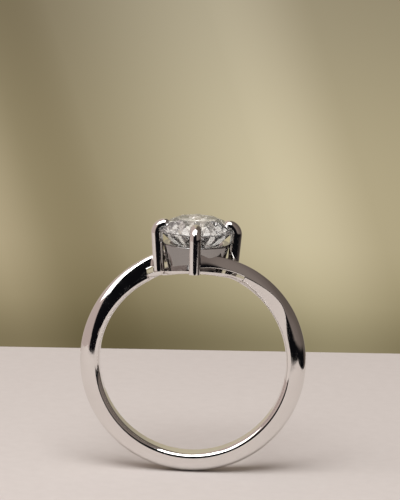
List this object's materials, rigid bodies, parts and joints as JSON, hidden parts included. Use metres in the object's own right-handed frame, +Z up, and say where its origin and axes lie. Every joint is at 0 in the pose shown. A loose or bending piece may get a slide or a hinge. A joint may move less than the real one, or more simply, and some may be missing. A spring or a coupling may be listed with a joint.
{
  "type": "engagement ring",
  "caption": "Crossover solitaire finger ring: a round brilliant-cut stone in a wire-claw collet head, on a polished shank whose shoulders sweep past the head.",
  "frame": {"origin": "centre of the finger hole", "axes": "+Z up through the stone, +Y along the axis of the finger hole towards the back claw, +X to the right when the front claw faces the viewer"},
  "size_m": [0.02, 0.008, 0.0228],
  "materials": {
    "white_gold": "white gold, mirror polished all over",
    "diamond": "colourless, clear, with polished flat facets"
  },
  "bodies": {
    "root": {"shank": "white_gold", "front_shoulder": "white_gold", "back_shoulder": "white_gold", "base_rail": "white_gold", "collet": "white_gold", "front_claw": "white_gold", "right_claw": "white_gold", "back_claw": "white_gold", "left_claw": "white_gold", "centre_stone": "diamond"}
  },
  "joints": []
}
